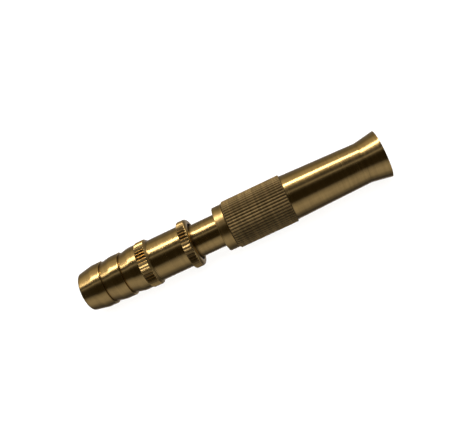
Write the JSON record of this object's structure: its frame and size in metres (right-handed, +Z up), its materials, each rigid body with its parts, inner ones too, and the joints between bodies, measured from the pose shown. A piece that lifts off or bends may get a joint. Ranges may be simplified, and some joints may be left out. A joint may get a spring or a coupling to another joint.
{
  "type": "hose spray nozzle",
  "caption": "Turned brass garden hose nozzle: a barbed hose tail, knurled grip rings, and a twist sleeve that runs along a valve stem to shut off or open the spray.",
  "frame": {"origin": "on the surface that the nozzle lies on, below the middle of its length", "axes": "+X along the nozzle's axis towards its mouth, +Z up"},
  "size_m": [0.1438, 0.0222, 0.0222],
  "materials": {
    "brass": "satin, fine lathe marks",
    "brass_grip": "satin, fine lathe marks",
    "brass_inner": "as machined",
    "rubber": "matte"
  },
  "bodies": {
    "hose_end": {"hose_tail": "brass", "tail_washer": "rubber", "coupling_body": "brass", "stem_washer": "rubber", "valve_stem": "brass", "stem_oring": "rubber", "spray_plug": "brass_inner", "plug_oring": "rubber"},
    "seal_carriage": {"wiper_ring": "rubber"},
    "sleeve": {"gland_nut": "brass", "spray_sleeve": "brass_grip"}
  },
  "joints": [
    {"name": "sleeve_travel", "type": "slide", "parent": "hose_end", "child": "seal_carriage", "axis": [1, 0, 0], "range_m": [-0.0075, 0.0015]},
    {"name": "sleeve_twist", "type": "hinge", "parent": "seal_carriage", "child": "sleeve", "pos_m": [0, 0, 0.0111], "axis": [1, 0, 0], "range_deg": [-900, 180]}
  ],
  "couplings": [
    {"joint": "sleeve_travel", "follows": "sleeve_twist", "m_per_rad": 0.00047746}
  ]
}
